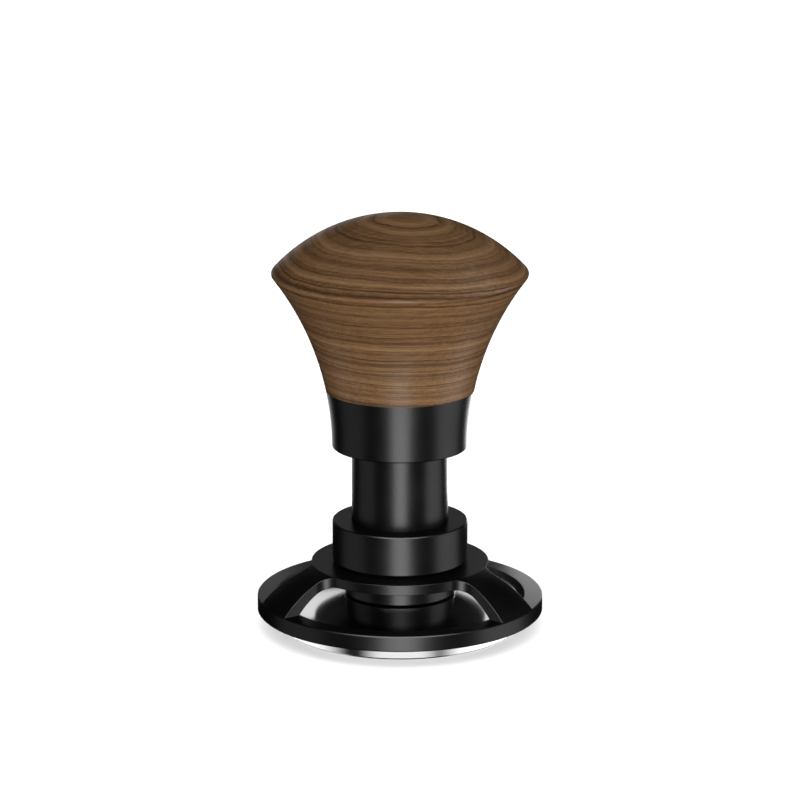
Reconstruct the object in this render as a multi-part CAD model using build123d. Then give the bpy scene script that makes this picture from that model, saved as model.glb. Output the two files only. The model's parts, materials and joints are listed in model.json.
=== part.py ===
from build123d import *
from math import cos, radians, sin, sqrt
import os

# Self-levelling, spring-loaded espresso tamper. Millimetres, +Z up, origin at the centre of the
# tamping face. Almost every piece is turned, so most functions revolve an outline of (radius, height).

# ---- driving dimensions ----
BASE_R = 29.175            # 58.35 mm base for a 58 mm filter basket
BASE_H = 8.07              # at the flat seat under the sleeve's foot
BASE_EDGE_H = 7.0          # the top face falls in a shallow cone to the edge
BASE_SEAT_R = 14.5
RIM_R = 35.13              # levelling ring, rests on the basket's rim
RIM_INNER_R = 30.65
RIM_Z = (3.90, 7.76)
HUB_R = 21.77              # raised centre plate of the ring
HUB_Z = (13.77, 16.19)
FOOT_R = 13.6              # flange of the sleeve, seen under the hub plate
COLLAR_R = 16.6
COLLAR_TOP = 26.67
COLLAR_FOOT_CHAMFER = 0.9
SLEEVE_R = 11.81
SLEEVE_BORE_R = 9.31
SLEEVE_TOP = 51.0
SKIRT_Z = (45.3, 59.6)     # black ferrule at the foot of the handle
FLARE_R = 71.5             # concave arc shared by the ferrule and the wood
FLARE_START_Z = 45.0       # where that arc is upright
DOME_R = 42.0
APEX_Z = 102.6
STEM_R = 5.0               # shaft of the base
HEAD_R = 9.1
HEAD_Z = (40.0, 44.6)
TIE_R = 3.0                # shoulder bolt that holds the handle down
CORE_R = 15.2              # metal core inside the wood
CORE_NECK_R = 13.55
EDGE = 0.25                # small chamfers on the black pieces

# ---- travels ----
LEVELLER_TRAVEL = 12.4     # ring, collar and sleeve rise along the shaft
HANDLE_TRAVEL = 5.8        # handle sinks against the main spring

# ---- clearances ----
RUNNING = 0.06             # radial, on faces that slide
SEATED = 0.04              # radial, between pieces of one body
FACE_GAP = 0.10            # between flat faces of different bodies

# ---- inner heights ----
FOOT_Z = BASE_H + 0.38     # underside of the sleeve above the base at rest
BUSH_Z = 11.5
BUSH_FLANGE_Z = (16.6, 17.6)
RETURN_WASHER_Z = (BUSH_FLANGE_Z[1] + FACE_GAP, BUSH_FLANGE_Z[1] + FACE_GAP + 0.8)
PILOT_TOP = 47.6
WEB_Z = (79.1, 82.2)
MAIN_WASHER_Z = (WEB_Z[0] - FACE_GAP - 1.0, WEB_Z[0] - FACE_GAP)
STOP_WASHER_Z = (WEB_Z[1] + FACE_GAP, WEB_Z[1] + FACE_GAP + 1.0)
BOLT_HEAD_TOP = STOP_WASHER_Z[1] + 4.0
CORE_TOP = 86.0
POCKET_TOP = BOLT_HEAD_TOP + HANDLE_TRAVEL + 0.9
INSERT_Z = (61.7, 82.0)
LIP_TOP = SKIRT_Z[0] + 2.0
SKIRT_BUSH_TOP = 55.9
ROOM_TOP = SLEEVE_TOP + LEVELLER_TRAVEL + HANDLE_TRAVEL + 0.8     # the sleeve rises into the core


def ring(r_in, r_out, z0, z1):
    """A plain hollow cylinder between two heights."""
    body = Pos(0, 0, z0) * Cylinder(r_out, z1 - z0, align=(Align.CENTER, Align.CENTER, Align.MIN))
    if r_in:
        bore = Cylinder(r_in, z1 - z0 + 2, align=(Align.CENTER, Align.CENTER, Align.MIN))
        body -= Pos(0, 0, z0 - 1) * bore
    return body


def turned(*edges):
    """Revolve a closed outline drawn in the XZ plane."""
    return revolve(make_face(Wire(list(edges))), Axis.Z)


def lines(*points):
    """Straight outline edges through (radius, height) points."""
    pairs = zip(points[:-1], points[1:])
    return [Line((a[0], 0, a[1]), (b[0], 0, b[1])) for a, b in pairs]


def arc(start, middle, end):
    """Arc edge through three (radius, height) points."""
    return ThreePointArc(*[(p[0], 0, p[1]) for p in (start, middle, end)])


def circles_at(solid, radius, *heights):
    """Full-circle edges of a solid that have this radius and one of these heights."""
    edges = solid.edges().filter_by(GeomType.CIRCLE)
    return [e for e in edges
            if abs(e.radius - radius) < 1e-3 and any(abs(e.center().Z - z) < 1e-3 for z in heights)]


def flare(z):
    """Radius of the handle's concave side at a height."""
    return COLLAR_R + FLARE_R - sqrt(FLARE_R**2 - (z - FLARE_START_Z) ** 2)


def dome(z):
    """Radius of the handle's dome at a height."""
    return sqrt(DOME_R**2 - (z - APEX_Z + DOME_R) ** 2)


def crown_height():
    """Height where the flare meets the dome, by bisection."""
    low, high = 80.0, 95.0
    for _ in range(50):
        middle = (low + high) / 2
        low, high = (middle, high) if flare(middle) < dome(middle) else (low, middle)
    return low


def spring(mean_r, wire_r, z0, z1, turns):
    """Round-wire coil between two seats."""
    height = z1 - z0 - 2 * wire_r - 0.1
    path = Pos(0, 0, z0 + wire_r + 0.05) * Helix(height / turns, height, mean_r)
    section = Plane(path @ 0, z_dir=path % 0) * Circle(wire_r)
    return sweep(section, path, is_frenet=True)


# ---- base and shaft ----
O_RING_R = 11.2
O_RING_WIRE = 0.74


def tamp_base():
    """Steel puck with a gently conical top, a tapped blind hole and a groove for the rest ring."""
    body = turned(*lines(
        (0, 0), (BASE_R - 0.4, 0), (BASE_R, 0.4), (BASE_R, BASE_EDGE_H - 0.2),
        (BASE_R - 0.2, BASE_EDGE_H), (BASE_SEAT_R, BASE_H), (0, BASE_H), (0, 0),
    ))
    body -= ring(0, 4.2 + SEATED, 2.5, BASE_H + 1)
    body -= ring(O_RING_R - 0.8, O_RING_R + 0.8, BASE_H - 1.3, BASE_H + 1)
    return body


def rest_o_ring():
    """Rubber ring that the sleeve settles towards at rest."""
    return Pos(0, 0, BASE_H - 1.3 + O_RING_WIRE) * Torus(O_RING_R, O_RING_WIRE)


def lock_washer():
    """Split spring washer under the shaft's foot."""
    body = ring(4.4, 6.9, BASE_H, BASE_H + 0.8)
    return body - Pos(5.6, 0, BASE_H) * Rot(0, 0, 20) * Box(4, 0.7, 3)


def tamp_shaft():
    """Turned shaft: threaded spigot, foot with spanner flats, stem, spring head and pilot."""
    foot = (BASE_H + 0.8, BASE_H + 2.8)
    body = ring(0, 4.2, 2.9, foot[0])
    body = chamfer(circles_at(body, 4.2, 2.9), 0.6)
    flange = ring(0, 7.0, *foot) & Pos(0, 0, foot[0]) * Box(12.2, 20, 10)
    body += flange
    body += ring(0, STEM_R, foot[1], HEAD_Z[0])
    head = ring(0, HEAD_R, *HEAD_Z)
    head = chamfer(circles_at(head, HEAD_R, *HEAD_Z), 0.3)
    body += head - ring(8.1, HEAD_R + 1, HEAD_Z[0] + 1.4, HEAD_Z[1] - 1.4)
    pilot = ring(0, 6.2, HEAD_Z[1], PILOT_TOP)
    body += chamfer(circles_at(pilot, 6.2, PILOT_TOP), 0.8)
    return body - ring(0, 2.5 + SEATED, 35.5, PILOT_TOP + 1)


def piston_ring():
    """Split guide ring in the head's groove, running in the sleeve's bore."""
    body = ring(8.1 + SEATED, SLEEVE_BORE_R - RUNNING, HEAD_Z[0] + 1.45, HEAD_Z[1] - 1.45)
    return body - Pos(SLEEVE_BORE_R, 0, HEAD_Z[0]) * Box(4, 0.6, 12)


def tie_bolt():
    """Shoulder bolt with a hexagon socket, screwed into the top of the shaft."""
    body = ring(0, 2.5, 36.5, PILOT_TOP)
    body += ring(0, TIE_R, PILOT_TOP, STOP_WASHER_Z[1])
    head = ring(0, 5.5, STOP_WASHER_Z[1], BOLT_HEAD_TOP)
    body += chamfer(circles_at(head, 5.5, BOLT_HEAD_TOP), 0.4)
    socket = extrude(RegularPolygon(2.5, 6, major_radius=False), 3)
    return body - Pos(0, 0, BOLT_HEAD_TOP - 2.4) * socket


def stop_washer():
    """Nylon washer that quietens the handle's return against the bolt head."""
    return ring(TIE_R + SEATED, 7.0, *STOP_WASHER_Z)


# ---- leveller ----
SPOKE_HALF_WIDTH = 6.02    # at 30 mm from the axis
SPOKE_TAPER = 0.157        # half width gained per mm outwards
SPOKE_CROWN = (28.45, 13.22)     # middle of the spoke's convex top
SPOKE_HOLLOW = (27.6, 10.75)     # middle of its concave underside
WINDOW_FILLET = 4.5
SPOKE_ANGLES = (-30, 90, 210)


def levelling_ring():
    """Flat rim joined to a raised hub plate by three crowned spokes."""
    bore = SLEEVE_R + SEATED
    rim_top = RIM_Z[1]
    rim_foot = RIM_Z[0]
    body = turned(
        *lines((bore, HUB_Z[1]), (bore, HUB_Z[0]), (HUB_R, HUB_Z[0])),
        arc((HUB_R, HUB_Z[0]), SPOKE_HOLLOW, (RIM_INNER_R, rim_top)),
        *lines((RIM_INNER_R, rim_top), (RIM_INNER_R, rim_foot + EDGE), (RIM_INNER_R + EDGE, rim_foot),
               (RIM_R - EDGE, rim_foot), (RIM_R, rim_foot + EDGE), (RIM_R, rim_top - EDGE),
               (RIM_R - EDGE, rim_top)),
        arc((RIM_R - EDGE, rim_top), SPOKE_CROWN, (HUB_R, HUB_Z[1])),
        *lines((HUB_R, HUB_Z[1]), (bore, HUB_Z[1])),
    )
    plan = Circle(RIM_R + 2) - Circle(HUB_R)
    inner = SPOKE_HALF_WIDTH + SPOKE_TAPER * (12 - 30)
    outer = SPOKE_HALF_WIDTH + SPOKE_TAPER * (40 - 30)
    spoke = make_face(Polyline((12, -inner), (40, -outer), (40, outer), (12, inner), close=True))
    for angle in SPOKE_ANGLES:
        plan -= Rot(0, 0, angle) * spoke
    corners = [v for v in plan.vertices() if sqrt(v.X**2 + v.Y**2) < HUB_R + 1]
    plan = fillet(corners, WINDOW_FILLET)
    windows = Pos(0, 0, RIM_Z[1]) * extrude(plan, 20)
    return body - windows


def guide_sleeve():
    """Black tube that carries the ring and slides on the shaft, with a flange at its foot."""
    body = ring(0, FOOT_R, FOOT_Z, HUB_Z[0])
    body = chamfer(circles_at(body, FOOT_R, FOOT_Z), 0.2)
    tube = ring(0, SLEEVE_R, HUB_Z[0], SLEEVE_TOP)
    body += chamfer(circles_at(tube, SLEEVE_R, SLEEVE_TOP), 0.4)
    body -= ring(0, 8.0, FOOT_Z - 1, BUSH_Z - 0.2)
    body -= ring(0, 7.0, FOOT_Z - 1, BUSH_FLANGE_Z[0] + 1)
    return body - ring(0, SLEEVE_BORE_R, BUSH_FLANGE_Z[0], SLEEVE_TOP + 1)


def clamp_collar():
    """Ring nut that clamps the hub plate against the sleeve's flange."""
    body = ring(SLEEVE_R + SEATED, COLLAR_R, HUB_Z[1], COLLAR_TOP)
    body = chamfer(circles_at(body, COLLAR_R, COLLAR_TOP), EDGE)
    return chamfer(circles_at(body, COLLAR_R, HUB_Z[1]), COLLAR_FOOT_CHAMFER)


def sleeve_bush():
    """Flanged bush that guides the sleeve on the shaft."""
    body = ring(0, 7.0 - SEATED, BUSH_Z, BUSH_FLANGE_Z[0]) + ring(0, 9.2, *BUSH_FLANGE_Z)
    return body - ring(0, STEM_R + RUNNING, BUSH_Z - 1, BUSH_FLANGE_Z[1] + 1)


def return_washer():
    """Thrust washer under the return spring."""
    return ring(5.4, 8.9, *RETURN_WASHER_Z)


def main_washer():
    """Thrust washer on top of the main spring."""
    return ring(TIE_R + 0.3, 8.7, *MAIN_WASHER_Z)


# ---- handle ----
def handle_skirt():
    """Black ferrule, its side on the same arc as the wood, with a lip that traps the bush."""
    z0, z1 = SKIRT_Z
    middle = (z0 + z1) / 2
    foot_z = z0 + EDGE
    return turned(
        *lines((flare(z1), z1), (CORE_R + SEATED, z1), (CORE_R + SEATED, LIP_TOP),
               (SLEEVE_R + 0.4, LIP_TOP), (SLEEVE_R + 0.4, z0), (flare(z0) - EDGE, z0),
               (flare(foot_z), foot_z)),
        arc((flare(foot_z), foot_z), (flare(middle), middle), (flare(z1), z1)),
    )


def skirt_bush():
    """Plain bush in the foot of the core, running on the sleeve."""
    return ring(SLEEVE_R + RUNNING, 13.8 - SEATED, LIP_TOP + 0.1, SKIRT_BUSH_TOP)


def handle_core():
    """Metal core: sleeve room at the foot, spring bore, web for the bolt and a pocket for its head."""
    body = ring(0, CORE_R, LIP_TOP + 0.1, INSERT_Z[0] - 0.1)
    body += ring(0, CORE_NECK_R, INSERT_Z[0] - 0.1, CORE_TOP)
    body = chamfer(circles_at(body, CORE_NECK_R, CORE_TOP), 0.5)
    body -= ring(0, 13.8, LIP_TOP, SKIRT_BUSH_TOP + 0.1)
    body -= ring(0, SLEEVE_R + 0.4, LIP_TOP, ROOM_TOP)
    body -= ring(0, 9.0, LIP_TOP, WEB_Z[0])
    body -= ring(0, TIE_R + RUNNING, LIP_TOP, WEB_Z[1] + 1)
    return body - ring(0, 8.2, WEB_Z[1], CORE_TOP + 1)


def wood_insert():
    """Threaded liner glued into the wood, screwed on the core."""
    return ring(CORE_NECK_R + SEATED, CORE_R + 0.1, *INSERT_Z)


def wood_handle():
    """Turned wooden knob: concave flank, domed top and a stepped blind bore."""
    z0 = SKIRT_Z[1]
    crest_z = crown_height()
    crest = (flare(crest_z), crest_z)
    half = (z0 + crest_z) / 2
    shoulder = radians(45)
    dome_mid = (DOME_R * sin(shoulder / 2), APEX_Z - DOME_R + DOME_R * cos(shoulder / 2))
    bore = CORE_R + 0.1 + SEATED
    body = turned(
        arc((flare(z0), z0), (flare(half), half), crest),
        arc(crest, dome_mid, (0, APEX_Z)),
        *lines((0, APEX_Z), (0, POCKET_TOP), (8.2, POCKET_TOP), (8.2, CORE_TOP + 0.1),
               (CORE_NECK_R + SEATED, CORE_TOP + 0.1), (CORE_NECK_R + SEATED, INSERT_Z[1] + 0.1),
               (bore, INSERT_Z[1] + 0.1), (bore, z0), (flare(z0), z0)),
    )
    return fillet(circles_at(body, crest[0], crest_z), 0.9)


def main_spring():
    """Calibrated compression spring between the shaft's head and the handle's core."""
    return spring(7.5, 0.95, HEAD_Z[1], MAIN_WASHER_Z[0], 10)


def return_spring():
    """Light compression spring that pushes the leveller back down."""
    return spring(7.2, 0.45, RETURN_WASHER_Z[1], HEAD_Z[0], 7)


PIECES = (
    tamp_base, rest_o_ring, lock_washer, tamp_shaft, piston_ring, tie_bolt, stop_washer,
    levelling_ring, guide_sleeve, clamp_collar, sleeve_bush, return_washer, return_spring,
    main_spring, main_washer, handle_skirt, skirt_bush, handle_core, wood_insert, wood_handle,
)

os.makedirs("parts", exist_ok=True)
for piece in PIECES:
    solid = piece()
    export_step(solid, f"parts/{piece.__name__}.step")
    print(piece.__name__, round(solid.volume, 1))
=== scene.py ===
import json
from math import cos, pi, radians, sin, tan

import bpy
from mathutils import Matrix, Vector

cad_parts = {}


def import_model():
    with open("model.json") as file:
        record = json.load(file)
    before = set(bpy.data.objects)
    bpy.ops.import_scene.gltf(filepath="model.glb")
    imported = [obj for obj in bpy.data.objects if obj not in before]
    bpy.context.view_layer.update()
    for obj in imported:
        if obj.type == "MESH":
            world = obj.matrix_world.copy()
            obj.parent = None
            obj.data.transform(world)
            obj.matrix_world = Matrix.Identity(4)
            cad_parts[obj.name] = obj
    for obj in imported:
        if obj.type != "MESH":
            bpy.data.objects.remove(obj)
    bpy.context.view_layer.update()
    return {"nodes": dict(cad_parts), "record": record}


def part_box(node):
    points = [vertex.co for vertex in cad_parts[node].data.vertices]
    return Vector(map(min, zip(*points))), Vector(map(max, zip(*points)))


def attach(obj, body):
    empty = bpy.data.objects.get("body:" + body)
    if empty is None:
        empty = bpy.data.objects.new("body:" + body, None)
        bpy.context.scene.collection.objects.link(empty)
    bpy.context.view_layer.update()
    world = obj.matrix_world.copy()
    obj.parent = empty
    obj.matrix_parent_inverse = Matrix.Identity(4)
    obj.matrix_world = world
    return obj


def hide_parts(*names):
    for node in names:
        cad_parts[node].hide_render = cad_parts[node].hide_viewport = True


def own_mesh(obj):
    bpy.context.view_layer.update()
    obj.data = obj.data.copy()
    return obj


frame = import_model()
nodes = frame["nodes"]
MM = 0.001


# ---------------------------------------------------------------- node helpers
class Shader:
    """A small wrapper that adds and links shader nodes of one material."""

    def __init__(self, name):
        self.material = bpy.data.materials.new(name)
        self.material.use_nodes = True
        self.tree = self.material.node_tree
        self.bsdf = self.tree.nodes["Principled BSDF"]
        self.place = self.add("ShaderNodeTexCoord").outputs["Object"]

    def add(self, kind, **settings):
        node = self.tree.nodes.new(kind)
        for key, value in settings.items():
            setattr(node, key, value)
        return node

    def link(self, source, target):
        self.tree.links.new(source, target)

    def feed(self, socket, value):
        """Link a socket, or set a plain value."""
        if isinstance(value, bpy.types.NodeSocket):
            self.link(value, socket)
        else:
            socket.default_value = value

    def set(self, **values):
        """Values of the shader's own sockets: base_color becomes 'Base Color'."""
        for key, value in values.items():
            self.feed(self.bsdf.inputs[key.replace("_", " ").title().replace("Ior", "IOR")], value)

    def axes(self):
        """Object coordinates as three sockets."""
        split = self.add("ShaderNodeSeparateXYZ")
        self.link(self.place, split.inputs[0])
        return split.outputs

    def math(self, operation, a, b=0.0, c=0.0):
        node = self.add("ShaderNodeMath", operation=operation)
        for socket, value in zip(node.inputs, (a, b, c)):
            self.feed(socket, value)
        return node.outputs[0]

    def scaled(self, scale):
        """Object coordinates stretched by a scale per axis."""
        node = self.add("ShaderNodeMapping")
        self.link(self.place, node.inputs["Vector"])
        node.inputs["Scale"].default_value = scale
        return node.outputs[0]

    def noise(self, vector, scale=1.0, detail=3.0, rough=0.5):
        node = self.add("ShaderNodeTexNoise")
        self.link(vector, node.inputs["Vector"])
        node.inputs["Scale"].default_value = scale
        node.inputs["Detail"].default_value = detail
        node.inputs["Roughness"].default_value = rough
        return node.outputs[0]

    def noise_1d(self, w, scale, detail, rough):
        node = self.add("ShaderNodeTexNoise", noise_dimensions="1D")
        self.link(w, node.inputs["W"])
        node.inputs["Scale"].default_value = scale
        node.inputs["Detail"].default_value = detail
        node.inputs["Roughness"].default_value = rough
        return node.outputs[0]

    def ramp(self, factor, stops):
        """Colour or grey ramp through (position, value) stops."""
        node = self.add("ShaderNodeValToRGB")
        self.link(factor, node.inputs[0])
        elements = node.color_ramp.elements
        while len(elements) < len(stops):
            elements.new(0.5)
        for element, (position, value) in zip(elements, stops):
            element.position = position
            element.color = (*value, 1) if isinstance(value, tuple) else (value, value, value, 1)
        return node.outputs[0]

    def mix(self, factor, a, b):
        """From colour a to colour b."""
        node = self.add("ShaderNodeMix", data_type="RGBA")
        for socket, value in ((node.inputs[0], factor), (node.inputs[6], a), (node.inputs[7], b)):
            self.feed(socket, (*value, 1) if isinstance(value, tuple) else value)
        return node.outputs[2]

    def bump(self, height, strength, distance, edge=0.0):
        """Surface relief, with the sharp edges broken to a small radius if one is given."""
        node = self.add("ShaderNodeBump")
        if edge:
            soft = self.add("ShaderNodeBevel", samples=6)
            soft.inputs["Radius"].default_value = edge
            self.link(soft.outputs[0], node.inputs["Normal"])
        node.inputs["Strength"].default_value = strength
        node.inputs["Distance"].default_value = distance
        self.link(height, node.inputs["Height"])
        self.link(node.outputs[0], self.bsdf.inputs["Normal"])


# ---------------------------------------------------------------- black and bright metal
def black_anodised():
    """Fine bead-blasted black anodising on aluminium: tiny pits, a slightly uneven satin."""
    m = Shader("black_anodised")
    blast = m.noise(m.place, 5200, 2, 0.6)
    cloud = m.noise(m.place, 90, 3, 0.5)
    grain = m.noise(m.place, 2600, 2, 0.6)
    shade = m.math("MULTIPLY_ADD", grain, 0.5, m.math("MULTIPLY", cloud, 0.5))
    m.set(base_color=m.ramp(shade, [(0.3, (0.040, 0.040, 0.041)), (0.7, (0.052, 0.052, 0.053))]))
    m.set(metallic=1.0, specular_tint=(0.38, 0.38, 0.38, 1))
    m.set(roughness=m.ramp(cloud, [(0.3, 0.30), (0.7, 0.34)]))
    m.bump(blast, 0.10, 0.04 * MM, edge=0.28 * MM)
    return m.material


def turned_marks(m, scale):
    """Grey value that changes with radius and height, as a lathe leaves it."""
    x, y, z = m.axes()
    square = m.math("MULTIPLY_ADD", x, x, m.math("MULTIPLY", y, y))
    radius = m.math("SQRT", square)
    return m.noise_1d(m.math("ADD", radius, z), scale, 3, 0.6)


BASE_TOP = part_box("tamp_base")[1][2]
BASE_CONE = 1.2 * MM              # the top face falls this far at most


def mirror_steel():
    """Polished stainless steel: bright side and sole, a softer turned top face."""
    m = Shader("mirror_steel")
    marks = turned_marks(m, 5200)
    haze = m.noise(m.place, 60, 2, 0.5)
    on_top = m.math("GREATER_THAN", m.axes()[2], BASE_TOP - BASE_CONE)
    m.set(base_color=(0.83, 0.83, 0.84, 1), metallic=1.0)
    m.set(roughness=m.math("MULTIPLY_ADD", on_top, 0.03, m.ramp(haze, [(0.3, 0.10), (0.7, 0.13)])))
    m.bump(marks, 0.05, 0.02 * MM)
    return m.material


# ---------------------------------------------------------------- walnut
CREST_Z = max(nodes["wood_handle"].data.vertices, key=lambda v: v.co.xy.length).co.z
CREST_SHADE_FOOT = 1.8 * MM            # the painted shade line lies in this band under the crest
CREST_SHADE_BAND = 2.0 * MM
# stops of the painted shade line under the crest: darkest in the middle of the band
CREST_SHADE_RAMP = [(0.22, 0.0), (0.38, 0.20), (0.50, 0.20), (0.62, 0.0)]

LATE_WOOD = [(0.0, 0.30), (0.05, 0.0), (0.62, 0.0), (0.86, 0.42), (0.95, 1.0), (1.0, 0.35)]
TONES = [
    (0.12, (0.045, 0.019, 0.0075)),
    (0.45, (0.120, 0.057, 0.0225)),
    (0.62, (0.196, 0.101, 0.043)),
    (0.80, (0.264, 0.143, 0.063)),
    (0.98, (0.335, 0.195, 0.095)),
]
PALE_PATCH = (0.215, 0.125, 0.070)
PORE_BROWN = (0.050, 0.020, 0.007)


def growth_layers(m):
    """Height in mm through the growth layers, tilted and gently warped."""
    x, y, z = m.axes()
    layer = m.math("MULTIPLY_ADD", z, 1 / MM, 23.0)
    layer = m.math("MULTIPLY_ADD", x, 28.0, layer)
    layer = m.math("MULTIPLY_ADD", y, -16.0, layer)
    layer = m.math("MULTIPLY_ADD", m.noise(m.scaled((17, 20, 26)), 1, 1, 0.4), 4.6, layer)
    return m.math("MULTIPLY_ADD", m.noise(m.scaled((90, 150, 210)), 1, 3, 0.55), 0.85, layer)


def ring_lines(m, layer, long_streaks):
    """Dark late wood at the end of each growth ring, stronger in some rings and broken along them."""
    drift = m.noise_1d(layer, 0.21, 1, 0.5)
    rings = m.math("MULTIPLY_ADD", drift, 3.2, m.math("MULTIPLY", layer, 0.42))
    each = m.add("ShaderNodeTexWhiteNoise", noise_dimensions="1D")
    m.link(m.math("FLOOR", rings), each.inputs["W"])
    line = m.ramp(m.math("FRACT", rings), LATE_WOOD)
    strength = m.math("MULTIPLY_ADD", each.outputs["Value"], 0.80, 0.35)
    streaky = m.ramp(long_streaks, [(0.34, 0.25), (0.62, 1.0)])
    return m.math("MULTIPLY", m.math("MULTIPLY", line, strength), streaky)


def open_pores(m):
    """Short dark dashes along the fibres, crowded in some layers."""
    cells = m.add("ShaderNodeTexVoronoi")
    m.link(m.scaled((560, 4300, 4300)), cells.inputs["Vector"])
    cells.inputs["Scale"].default_value = 1
    dash = m.ramp(cells.outputs["Distance"], [(0.14, 1.0), (0.30, 0.0)])
    crowd = m.ramp(m.noise(m.scaled((55, 230, 420)), 1, 3, 0.6), [(0.46, 0.0), (0.62, 0.62)])
    return m.math("MULTIPLY", dash, crowd)


def crest_shade_line(m):
    """Painted shade: a thin dark line just under the crest, standing in for the shade of the ridge."""
    height = m.math("SUBTRACT", m.axes()[2], CREST_Z - CREST_SHADE_FOOT)
    return m.ramp(m.math("MULTIPLY", height, 1 / CREST_SHADE_BAND), CREST_SHADE_RAMP)


def walnut():
    """Oiled walnut: level growth layers, long fibres along X and fine open pores."""
    m = Shader("walnut")
    layer = growth_layers(m)
    long_streaks = m.noise(m.scaled((34, 420, 800)), 1, 3, 0.6)
    bands = m.noise_1d(layer, 0.42, 3, 0.6)
    thin = m.noise_1d(layer, 2.0, 2, 0.6)
    fibres = m.noise(m.scaled((70, 1300, 1700)), 1, 4, 0.7)
    flecks = m.noise(m.scaled((420, 3400, 3800)), 1, 3, 0.65)
    value = m.math("MULTIPLY_ADD", ring_lines(m, layer, long_streaks), -0.66, -0.81)
    for part, weight in ((bands, 1.0), (thin, 0.66), (long_streaks, 0.28), (fibres, 0.60), (flecks, 0.42)):
        value = m.math("MULTIPLY_ADD", part, weight, value)
    # painted shade: the wood is darkened in a thin line under the crest
    value = m.math("SUBTRACT", value, crest_shade_line(m))
    patches = m.noise(m.scaled((26, 40, 95)), 1, 2, 0.5)
    tone = m.mix(m.ramp(patches, [(0.42, 0.0), (0.75, 0.25)]), m.ramp(value, TONES), PALE_PATCH)
    pores = open_pores(m)
    m.set(base_color=m.mix(pores, tone, PORE_BROWN))
    m.set(roughness=m.ramp(value, [(0.4, 0.40), (0.8, 0.33)]))
    m.set(specular_ior_level=0.30)
    height = m.math("SUBTRACT", m.math("MULTIPLY", fibres, 0.6), pores)
    m.bump(height, 0.30, 0.04 * MM)
    return m.material


# ---------------------------------------------------------------- inner materials
def turned_metal(name, color, rough):
    """Plain turned metal of the inner parts."""
    m = Shader(name)
    marks = turned_marks(m, 2600)
    m.set(base_color=m.ramp(marks, [(0.3, tuple(c * 0.86 for c in color)), (0.7, color)]), metallic=1.0)
    m.set(roughness=m.ramp(marks, [(0.3, rough + 0.06), (0.7, rough)]))
    m.bump(marks, 0.12, 0.04 * MM)
    return m.material


def plain_soft(name, color, rough, grain):
    """Rubber or plastic with a fine moulded grain."""
    m = Shader(name)
    speck = m.noise(m.place, grain, 2, 0.5)
    m.set(base_color=m.ramp(speck, [(0.3, tuple(c * 0.85 for c in color)), (0.7, color)]))
    m.set(roughness=m.ramp(speck, [(0.3, rough + 0.05), (0.7, rough)]))
    m.bump(speck, 0.15, 0.03 * MM)
    return m.material


MATERIALS = {
    "mirror_steel": mirror_steel(),
    "black_anodised": black_anodised(),
    "walnut": walnut(),
    "turned_steel": turned_metal("turned_steel", (0.60, 0.60, 0.61), 0.28),
    "plain_aluminium": turned_metal("plain_aluminium", (0.74, 0.75, 0.76), 0.36),
    "spring_steel": turned_metal("spring_steel", (0.50, 0.50, 0.52), 0.30),
    "bronze": turned_metal("bronze", (0.56, 0.36, 0.17), 0.42),
    "acetal": plain_soft("acetal", (0.78, 0.77, 0.72), 0.42, 3000),
    "rubber": plain_soft("rubber", (0.022, 0.022, 0.022), 0.62, 4000),
}
for part in frame["record"]["subparts"]:
    thing = nodes[part["node"]]
    thing.data.materials.clear()
    thing.data.materials.append(MATERIALS[part["material_slot"]])


# ---------------------------------------------------------------- springs
CLOSED_TURNS = 0.9                # at each end, wound wire against wire
OPENING_TURNS = 0.3               # over which the pitch grows to its full value
GROUND = 0.35                     # the end's wire is ground to this many radii from its middle
COIL_SIDES = 14                   # round the wire
COIL_STEPS = 48                   # along each turn


def coil_path(z0, z1, wire, turns):
    """Angle and height along a spring whose first and last turns are closed."""
    count = round(turns * COIL_STEPS)
    closed = 2 * wire / COIL_STEPS
    rates = []
    for i in range(count):
        turn = (i + 0.5) / COIL_STEPS
        opened = min(turn, turns - turn) - CLOSED_TURNS
        rates.append(min(max(opened / OPENING_TURNS, 0.0), 1.0))
    rise = (z1 - z0 - 2 * GROUND * wire - closed * count) / sum(rates)
    height = z0 + GROUND * wire
    path = [(0.0, height)]
    for i, rate in enumerate(rates):
        height += closed + rise * rate
        path.append((2 * pi * (i + 1) / COIL_STEPS, height))
    return path


def wire_circle(angle, height, mean, wire, z0, z1):
    """Points round the wire at one place of the coil, cut off at the two ground ends."""
    out = Vector((cos(angle), sin(angle), 0))
    points = []
    for k in range(COIL_SIDES):
        a = 2 * pi * k / COIL_SIDES
        point = out * (mean + wire * cos(a))
        point.z = min(max(height + wire * sin(a), z0), z1)
        points.append(point)
    return points


def coil_spring(name, node, wire, turns):
    """Spring of round wire of a given radius, in the space of its CAD node."""
    low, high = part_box(node)
    z0, z1 = low[2], high[2]
    path = coil_path(z0, z1, wire, turns)
    verts = []
    for angle, height in path:
        verts += wire_circle(angle, height, high[0] - wire, wire, z0, z1)
    faces = []
    for i in range(len(path) - 1):
        for k in range(COIL_SIDES):
            a, b = i * COIL_SIDES + k, i * COIL_SIDES + (k + 1) % COIL_SIDES
            faces.append((a, a + COIL_SIDES, b + COIL_SIDES, b))
    last = (len(path) - 1) * COIL_SIDES
    faces.append(tuple(range(COIL_SIDES)))
    faces.append(tuple(reversed(range(last, last + COIL_SIDES))))
    mesh = bpy.data.meshes.new(name)
    mesh.from_pydata(verts, [], faces)
    mesh.shade_smooth()
    mesh.materials.append(MATERIALS["spring_steel"])
    thing = bpy.data.objects.new(name, mesh)
    bpy.context.scene.collection.objects.link(thing)
    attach(thing, "base")
    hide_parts(node)
    return thing


return_coil = coil_spring("return_spring_coil", "return_spring", 0.45 * MM, 7)
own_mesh(return_coil)
main_coil = coil_spring("main_spring_coil", "main_spring", 0.95 * MM, 10)
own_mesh(main_coil)


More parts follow.
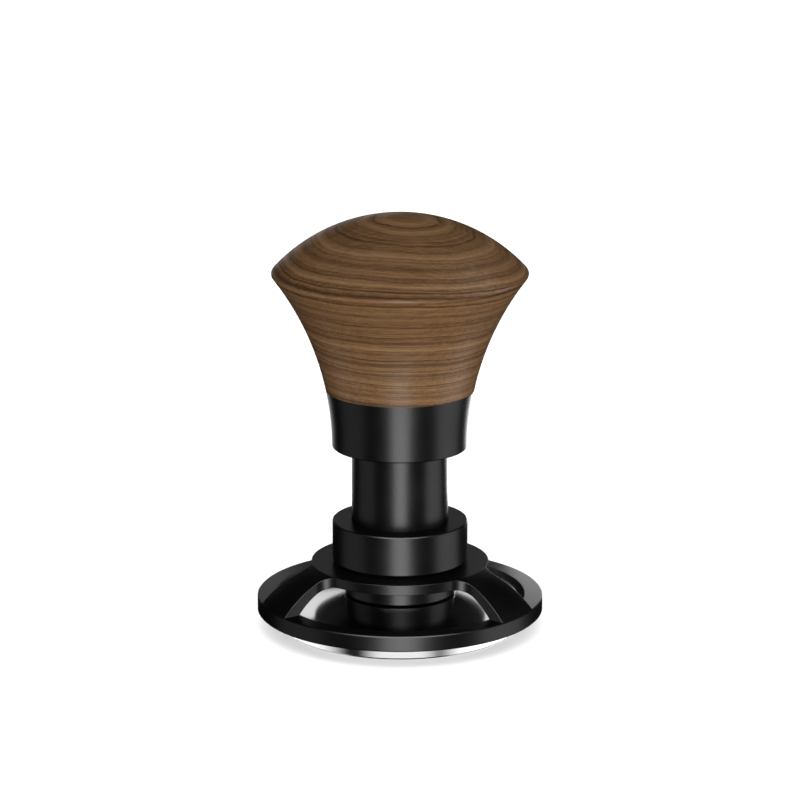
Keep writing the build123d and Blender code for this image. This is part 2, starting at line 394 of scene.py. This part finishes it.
# ---------------------------------------------------------------- floor, world and camera
CAMERA_TURN = radians(4.0)        # the camera stands a little to the right of the front window
CAMERA_AWAY = 0.84474
CAMERA_Z = 0.27727
CAMERA_PITCH = radians(14.632)
LENS = 161.45
SENSOR = 36
AIM_Z = 40 * MM                   # the lights face this height on the axis

FLOOR_RADIUS = 1.1
FLOOR_SIDES = 128
FLOOR_Z = -0.05 * MM              # just clear of the sole
FLOOR_WHITE = (0.93, 0.93, 0.93, 1)
WORLD_GREY = (0.016, 0.016, 0.016, 1)
WHITE = (1, 1, 1, 1)


def floor_material():
    """Matt white, and clear from below so that the sole can be seen."""
    m = Shader("pale_floor")
    m.set(base_color=FLOOR_WHITE, roughness=0.9, specular_ior_level=0.0)
    below = m.add("ShaderNodeNewGeometry").outputs["Backfacing"]
    m.set(alpha=m.math("SUBTRACT", 1.0, below))
    return m.material


def floor_disc():
    """Floor that shows only itself and the shadow on it, with no part in reflections."""
    angles = [2 * pi * i / FLOOR_SIDES for i in range(FLOOR_SIDES)]
    corners = [(FLOOR_RADIUS * cos(a), FLOOR_RADIUS * sin(a), FLOOR_Z) for a in angles]
    mesh = bpy.data.meshes.new("floor")
    mesh.from_pydata(corners, [], [tuple(range(FLOOR_SIDES))])
    mesh.materials.append(floor_material())
    thing = bpy.data.objects.new("floor", mesh)
    bpy.context.scene.collection.objects.link(thing)
    thing.visible_glossy = False
    thing.visible_shadow = False
    thing.visible_diffuse = False
    return thing


def world():
    """White to the camera, dim grey to the object."""
    studio = bpy.data.worlds.new("studio")
    studio.use_nodes = True
    bpy.context.scene.world = studio
    tree = studio.node_tree
    path = tree.nodes.new("ShaderNodeLightPath")
    mix = tree.nodes.new("ShaderNodeMix")
    mix.data_type = "RGBA"
    mix.inputs[6].default_value = WORLD_GREY
    mix.inputs[7].default_value = WHITE
    tree.links.new(path.outputs["Is Camera Ray"], mix.inputs[0])
    tree.links.new(mix.outputs[2], tree.nodes["Background"].inputs["Color"])


def camera():
    data = bpy.data.cameras.new("camera")
    data.lens = LENS
    data.sensor_width = SENSOR
    data.clip_start = 10 * MM
    thing = bpy.data.objects.new("camera", data)
    bpy.context.scene.collection.objects.link(thing)
    thing.location = (CAMERA_AWAY * sin(CAMERA_TURN), -CAMERA_AWAY * cos(CAMERA_TURN), CAMERA_Z)
    thing.rotation_euler = (pi / 2 - CAMERA_PITCH, 0, CAMERA_TURN)
    bpy.context.scene.camera = thing


floor = floor_disc()
world()
camera()


# ---------------------------------------------------------------- lights
def area_light(name, width, height, radiance, place, away, only, through):
    """Rectangle that faces back along away, lights only some objects and passes through others."""
    light = bpy.data.lights.new(name, "AREA")
    light.shape = "RECTANGLE"
    light.size = width
    light.size_y = height
    light.energy = radiance * pi * width * height
    thing = bpy.data.objects.new(name, light)
    bpy.context.scene.collection.objects.link(thing)
    thing.location = place
    thing.rotation_euler = away.to_track_quat("Z", "Y").to_euler()
    thing.visible_camera = False
    thing.light_linking.receiver_collection = only
    thing.light_linking.blocker_collection = through
    return thing


def softbox(name, azimuth, elevation, width, height, radiance, only, through=None, distance=1.0):
    """Light in a direction from the object, its place and size in degrees.

    Azimuth 0 is the camera's side, and a positive azimuth is to the camera's right.
    """
    a, e = radians(azimuth) + CAMERA_TURN, radians(elevation)
    away = Vector((sin(a) * cos(e), -cos(a) * cos(e), sin(e)))
    place = Vector((0, 0, AIM_Z)) + away * distance
    across = 2 * distance * tan(radians(width / 2))
    upright = 2 * distance * tan(radians(height / 2))
    return area_light(name, across, upright, radiance, place, away, only, through)


def card(name, across, away, heights, radiance, only):
    """Upright card close behind the object; sizes in mm, across to the right of the camera's line."""
    width = (across[1] - across[0]) * MM
    height = (heights[1] - heights[0]) * MM
    turn = Matrix.Rotation(CAMERA_TURN, 4, "Z")
    place = turn @ Vector((sum(across) / 2, away, sum(heights) / 2)) * MM
    return area_light(name, width, height, radiance, place, turn @ Vector((0, 1, 0)), only, None)


def fade_edges(thing, full_from, full_to):
    """Let a light die away outside two places across it, as a cloth softbox does."""
    thing.data.use_nodes = True
    tree = thing.data.node_tree
    place = tree.nodes.new("ShaderNodeNewGeometry")
    split = tree.nodes.new("ShaderNodeSeparateXYZ")
    ramp = tree.nodes.new("ShaderNodeValToRGB")
    ramp.color_ramp.interpolation = "EASE"
    ramp.color_ramp.elements.new(full_from)
    ramp.color_ramp.elements.new(full_to)
    for element, value in zip(ramp.color_ramp.elements, (0.0, 1.0, 1.0, 0.0)):
        element.color = (value, value, value, 1)
    tree.links.new(place.outputs["Parametric"], split.inputs[0])
    tree.links.new(split.outputs[0], ramp.inputs[0])
    tree.links.new(ramp.outputs[0], tree.nodes["Emission"].inputs["Color"])


def group(name, *things, exclude=False):
    """Objects that a light reaches, or with exclude the ones that it leaves out."""
    found = bpy.data.collections.new(name)
    for thing in things:
        found.objects.link(thing)
    if exclude:
        for entry in found.collection_objects:
            entry.light_linking.link_state = "EXCLUDE"
    return found


steel = nodes["tamp_base"]
ring = nodes["levelling_ring"]
polished = group("polished", steel)
not_polished = group("not_polished", steel, exclude=True)
wooden = group("wooden", nodes["wood_handle"])
blackened = group("blackened", ring, nodes["clamp_collar"], nodes["guide_sleeve"], nodes["handle_skirt"])
ground = group("ground", floor)
past_ring = group("past_ring", steel, ring, exclude=True)

# long highlights on the black pieces and the wood
softbox("key", 1, -16, 27, 66, 4.2, not_polished, through=past_ring)
softbox("side_right", 90, -10, 48, 70, 1.3, not_polished, through=past_ring)
softbox("side_left", -88, -10, 48, 70, 0.36, not_polished, through=past_ring)

# even light and faint edge sheen on the wood
softbox("top", 0, 85, 100, 100, 0.40, wooden).visible_glossy = False
softbox("dome_front", 4, 34, 50, 40, 1.15, wooden).visible_glossy = False
softbox("sheen_right", 105, 50, 24, 24, 1.2, wooden)
softbox("sheen_left", -170, 2, 20, 20, 0.5, wooden)

# the level faces and edges of the black pieces
softbox("edge_front", 0, 52, 60, 50, 6.0, blackened)
card("back_right", (30, 80), 90, (4, 34), 18.0, blackened)
card("back_left", (-80, -30), 90, (4, 34), 3.0, blackened)
softbox("back_sky", 176, 16, 30, 14, 2.2, blackened)

# what the steel mirrors: its side, its top face and its sole
fade_edges(softbox("steel_front", 1, -17, 80, 40, 1.01, polished), 0.35, 0.65)
fade_edges(softbox("steel_left", -106, -17, 106, 40, 1.2, polished), 0.02, 0.58)
fade_edges(softbox("steel_right", 98, -17, 120, 40, 1.95, polished), 0.50, 0.98)
card("steel_back", (-61, 61), 90, (34, 100), 0.80, polished)
softbox("sole_back", 180, -42, 110, 44, 0.5, polished)

# the floor: one light with shadows, and a fill without
softbox("floor_light", 0, 90, 120, 120, 1.2, ground, distance=1.5)
fill = softbox("floor_fill", 0, 90, 106, 106, 0.72, ground, distance=1.7)
fill.data.use_shadow = False
fill.data.cycles.use_multiple_importance_sampling = False

bpy.context.scene.view_settings.view_transform = "Standard"
